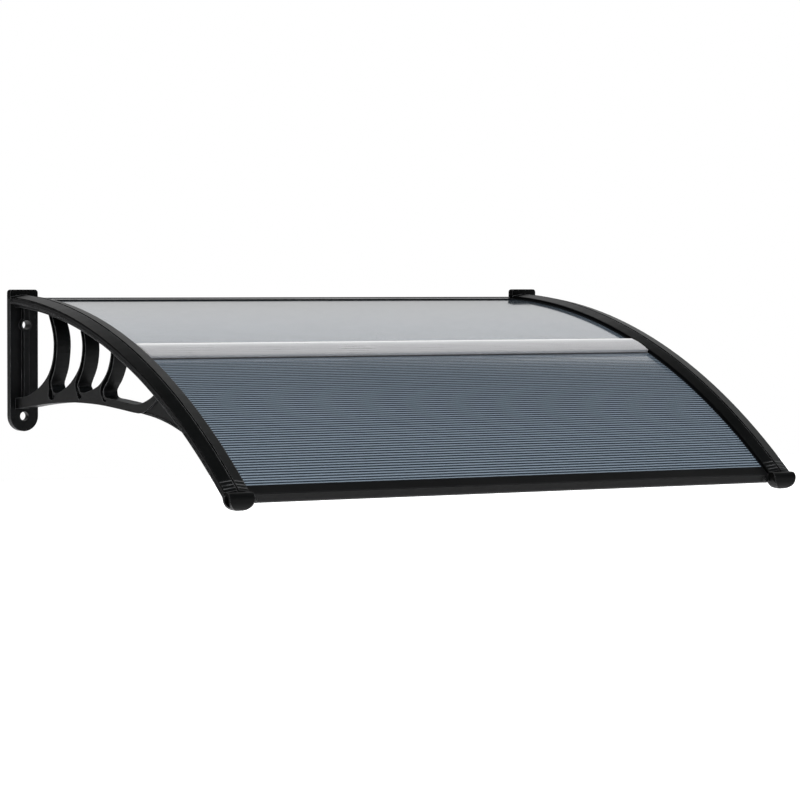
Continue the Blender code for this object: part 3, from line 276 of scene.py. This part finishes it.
def black_aluminium():
    """Satin coating over extrusion lines that run along X, with a painted highlight along the
    edges.
    """
    material, g = new_material("black_coated_aluminium", (0.015, 0.015, 0.016))
    where = g.place()
    lines = g.noise(g.stretched(1.5, 900.0, 900.0), detail=2.0)
    grain = g.noise(where, scale=2200.0, detail=2.0)
    cloud = g.noise(where, scale=7.0)
    edge_normal = g.rounded(radius=0.0005)
    alignment = g.alignment(edge_normal, g.flat_normal())
    # Painted highlight along the edges
    edge = g.span(
        alignment, COATING_EDGE_FROM, COATING_EDGE_FULL, 0.0, COATING_EDGE_STRENGTH
    )
    colour = g.blend(g.spread(cloud), *COATING_TONES)
    height = g.add(g.multiply(grain, 0.5), g.multiply(lines, 0.5))
    g.surface({
        "Base Color": g.blend(edge, colour, COATING_EDGE_HIGHLIGHT),
        "Roughness": g.add(g.spread(lines, 0.30, 0.38), g.spread(cloud, -0.02, 0.03)),
        "Normal": g.bump(height, strength=0.25, distance=0.00008, normal=edge_normal),
        "Specular IOR Level": 0.5,
    })
    return material


def silver_aluminium():
    """Fine lines along X, and a painted highlight: a white band where the bar's top turns to
    the wall.
    """
    material, g = new_material("satin_silver_aluminium", (0.7, 0.7, 0.72))
    lines = g.noise(g.stretched(0.8, 760.0, 760.0), detail=2.0, roughness=0.6)
    wide = g.noise(g.stretched(0.5, 90.0, 90.0), detail=2.0)
    cloud = g.noise(g.place(), scale=11.0)
    tone = g.add(g.multiply(lines, 0.5), g.multiply(wide, 0.5))
    edge_normal = g.rounded(radius=0.0012)
    lean = g.parts(edge_normal)["Y"]
    # Painted highlight: white and not metallic where the rounded top leans towards the wall
    painted_rear_highlight = g.span(lean, REAR_HIGHLIGHT_FROM, REAR_HIGHLIGHT_FULL, smooth=True)
    colour = g.blend(g.spread(tone, reach=STREAK_REACH), *SILVER_TONES)
    g.surface({
        "Base Color": g.blend(painted_rear_highlight, colour, SILVER_PAINTED_HIGHLIGHT),
        "Metallic": g.span(painted_rear_highlight, 0.0, 1.0, SILVER_METAL, 0.0),
        "Roughness": g.add(g.spread(lines, 0.26, 0.36), g.spread(cloud, -0.03, 0.04)),
        "Normal": g.bump(tone, strength=0.14, distance=0.00005, normal=edge_normal),
    })
    return material


def black_rubber():
    material, g = new_material("black_rubber_seal", (0.012, 0.012, 0.012))
    cloud = g.noise(g.stretched(3.0, 60.0, 60.0))
    grain = g.noise(g.place(), scale=1800.0, detail=2.0)
    g.surface({
        "Base Color": g.blend(g.spread(cloud), *RUBBER_TONES),
        "Roughness": g.spread(grain, 0.58, 0.74),
        "Normal": g.bump(grain, strength=0.3, distance=0.0001),
        "Specular IOR Level": 0.35,
    })
    return material


def screw_steel():
    material, g = new_material("bright_screw_steel", (0.6, 0.6, 0.61))
    grain = g.noise(g.place(), scale=2600.0)
    cloud = g.noise(g.place(), scale=160.0, detail=2.0)
    g.surface({
        "Base Color": g.blend(g.spread(cloud), *STEEL_TONES),
        "Metallic": 1.0,
        "Roughness": g.spread(grain, 0.24, 0.36),
        "Normal": g.bump(grain, strength=0.2, distance=0.00005),
    })
    return material


def smoke_sheet(name, first_flute):
    """Fluted sheet: dark along each flute's middle, light beside the webs between them."""
    material, g = new_material(name, (0.16, 0.2, 0.25))
    where = g.place()
    angle = g.math("ARCTAN2", *from_arc_centre(g, where))
    along = g.multiply(g.subtract(angle, ARC_START_SLOPE), ARC_RADIUS)
    flutes = g.math("DIVIDE", g.subtract(along, first_flute), FLUTE_PITCH)
    phase = g.math("FRACT", flutes)
    off_middle = g.math("ABSOLUTE", g.subtract(phase, 0.5))
    band = g.span(off_middle, BAND_FROM, BAND_FULL, smooth=True)
    web = g.span(off_middle, WEB_FROM, WEB_FULL, smooth=True)
    streak = g.noise(g.stretched(1.4, 700.0, 700.0), detail=2.0)
    cloud = g.noise(where, scale=4.0, detail=2.0)
    fine = g.noise(where, scale=900.0, detail=2.0)
    dark = g.blend(cloud, *DARK_BAND_TONES)
    light = g.blend(cloud, *LIGHT_BAND_TONES)
    colour = g.blend(band, dark, light)
    colour = g.blend(g.multiply(web, WEB_STRENGTH), colour, WEB_COLOUR)
    streaks = g.spread(streak, 0.0, STREAK_STRENGTH, reach=STREAK_REACH)
    colour = g.blend(streaks, colour, STREAK_COLOUR)
    wave = g.math("COSINE", g.multiply(phase, math.tau))
    height = g.add(g.multiply(wave, 0.5), g.multiply(fine, 0.15))
    g.surface({
        "Base Color": colour,
        "Roughness": g.add(g.spread(cloud, 0.11, 0.15), g.spread(fine, -0.015, 0.02)),
        "IOR": 1.6,
        "Transmission Weight": 0.25,
        "Coat Weight": 1.0,
        "Coat Roughness": 0.07,
        "Coat IOR": 1.6,
        "Normal": g.bump(height, strength=0.35, distance=0.00015),
    })
    return material


def floor_material():
    material, g = new_material("studio_floor", FLOOR_COLOUR)
    shader = g.node("ShaderNodeBsdfDiffuse", {"Color": (*FLOOR_COLOUR, 1.0)})
    path = g.node("ShaderNodeLightPath").outputs
    seen = g.add(path["Is Camera Ray"], path["Is Transmission Ray"], clamp=True)
    values = {"Color": (1.0, 1.0, 1.0, 1.0), "Strength": g.multiply(seen, FLOOR_GLOW)}
    glow = g.node("ShaderNodeEmission", values)
    both = g.node("ShaderNodeAddShader")
    g.feed(shader.outputs[0], both.inputs[0])
    g.feed(glow.outputs[0], both.inputs[1])
    output = g.node("ShaderNodeOutputMaterial")
    g.feed(both.outputs[0], output.inputs["Surface"])
    return material


def make_floor():
    half = FLOOR_SIZE / 2
    corners = [
        (-half, -half, FLOOR_LEVEL),
        (half, -half, FLOOR_LEVEL),
        (half, half, FLOOR_LEVEL),
        (-half, half, FLOOR_LEVEL),
    ]
    mesh = bpy.data.meshes.new("studio_floor")
    mesh.from_pydata(corners, [], [(0, 1, 2, 3)])
    mesh.materials.append(floor_material())
    floor = bpy.data.objects.new("studio_floor", mesh)
    bpy.context.scene.collection.objects.link(floor)


def make_world():
    """White to the camera. Round the object, a dim room with a bright backdrop behind."""
    world = bpy.data.worlds.new("studio")
    bpy.context.scene.world = world
    world.use_nodes = True
    g = Graph(world.node_tree)
    path = g.node("ShaderNodeLightPath").outputs
    towards = g.parts(g.node("ShaderNodeTexCoord").outputs["Generated"])
    backdrop = g.add(
        g.span(
            towards["Z"], HORIZON_FROM_Z, HORIZON_TO_Z,
            HORIZON_LIGHT, BACK_ROOM_LIGHT, smooth=True,
        ),
        g.span(
            towards["Z"], HORIZON_TO_Z, BACKDROP_TOP_Z,
            0.0, BACKDROP_TOP_LIGHT - BACK_ROOM_LIGHT,
        ),
    )
    overhead = g.span(towards["Z"], FADE_FROM_Z, FADE_TO_Z, smooth=True)
    lit = g.between(overhead, backdrop, CEILING_LIGHT)
    left = g.span(towards["X"], LEFT_FROM_X, LEFT_TO_X, LEFT_ROOM_SHARE, 1.0, smooth=True)
    behind = g.span(towards["Y"], BACK_FROM_Y, BACK_TO_Y, smooth=True)
    room = g.between(behind, FRONT_ROOM_LIGHT, g.multiply(lit, left))
    strength = g.between(path["Is Camera Ray"], room, SEEN_BACKGROUND)
    values = {"Color": (1.0, 1.0, 1.0, 1.0), "Strength": strength}
    background = g.node("ShaderNodeBackground", values)
    output = g.node("ShaderNodeOutputWorld")
    g.feed(background.outputs[0], output.inputs["Surface"])


def add_light(name, kind, power, aim):
    data = bpy.data.lights.new(name, kind)
    data.energy = power
    light = bpy.data.objects.new(name, data)
    bpy.context.scene.collection.objects.link(light)
    light.rotation_euler = Vector(aim).to_track_quat("-Z", "Y").to_euler()
    return light


def add_area_light(name, place, target, size, power):
    light = add_light(name, "AREA", power, Vector(target) - Vector(place))
    light.data.shape = "RECTANGLE"
    light.data.size, light.data.size_y = size
    light.location = place
    light.visible_camera = False
    return light


def make_lights():
    """Soft light from above and from in front. Of its sources, surfaces mirror the softbox."""
    sun = add_light("overhead", "SUN", SUN_STRENGTH, SUN_AIM)
    sun.data.angle = math.radians(SUN_SPREAD)
    sun.visible_glossy = False
    add_area_light("softbox", SOFTBOX_PLACE, SOFTBOX_TARGET, SOFTBOX_SIZE, SOFTBOX_POWER)
    fill = add_area_light("front_fill", FILL_PLACE, FILL_TARGET, FILL_SIZE, FILL_POWER)
    fill.visible_glossy = False


def make_camera():
    turn, pitch, roll = map(math.radians, (CAMERA_TURN, CAMERA_PITCH, CAMERA_ROLL))
    forward = Vector((
        math.sin(turn) * math.cos(pitch),
        math.cos(turn) * math.cos(pitch),
        -math.sin(pitch),
    ))
    level = Vector((math.cos(turn), -math.sin(turn), 0.0))
    upright = level.cross(forward)
    right = math.cos(roll) * level + math.sin(roll) * upright
    up = -math.sin(roll) * level + math.cos(roll) * upright
    data = bpy.data.cameras.new("photo_camera")
    data.lens = CAMERA_LENS
    data.sensor_width = SENSOR_WIDTH
    camera = bpy.data.objects.new("photo_camera", data)
    matrix = Matrix((right, up, -forward)).transposed().to_4x4()
    matrix.translation = CAMERA_PLACE
    camera.matrix_world = matrix
    bpy.context.scene.collection.objects.link(camera)
    bpy.context.scene.camera = camera


def finish_of(name):
    """The finish of a CAD node, from its name."""
    if name.endswith("bracket"):
        return "black_plastic"
    if name.endswith("sheet"):
        return name
    if name == "joint_bar":
        return "silver_aluminium"
    if "seal" in name:
        return "black_rubber"
    if name in ("front_bar", "rear_bar") or name.startswith("front_screw"):
        return "black_aluminium"
    return "screw_steel"


def dress(nodes):
    finishes = {
        "black_plastic": black_plastic(),
        "black_aluminium": black_aluminium(),
        "silver_aluminium": silver_aluminium(),
        "black_rubber": black_rubber(),
        "screw_steel": screw_steel(),
        "rear_sheet": smoke_sheet("smoke_sheet_rear", REAR_FLUTE_START),
        "front_sheet": smoke_sheet("smoke_sheet_front", FRONT_FLUTE_START),
    }
    for name, obj in nodes.items():
        obj.data.materials.clear()
        obj.data.materials.append(finishes[finish_of(name)])


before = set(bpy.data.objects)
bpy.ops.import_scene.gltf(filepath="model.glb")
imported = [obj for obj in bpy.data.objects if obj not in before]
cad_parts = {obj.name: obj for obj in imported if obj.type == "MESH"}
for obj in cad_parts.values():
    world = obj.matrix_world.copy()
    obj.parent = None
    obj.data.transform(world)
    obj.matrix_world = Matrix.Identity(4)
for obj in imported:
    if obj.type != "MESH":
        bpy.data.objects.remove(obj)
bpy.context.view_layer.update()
dress(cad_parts)
make_floor()
make_world()
make_lights()
make_camera()
bpy.context.scene.view_settings.view_transform = "Standard"
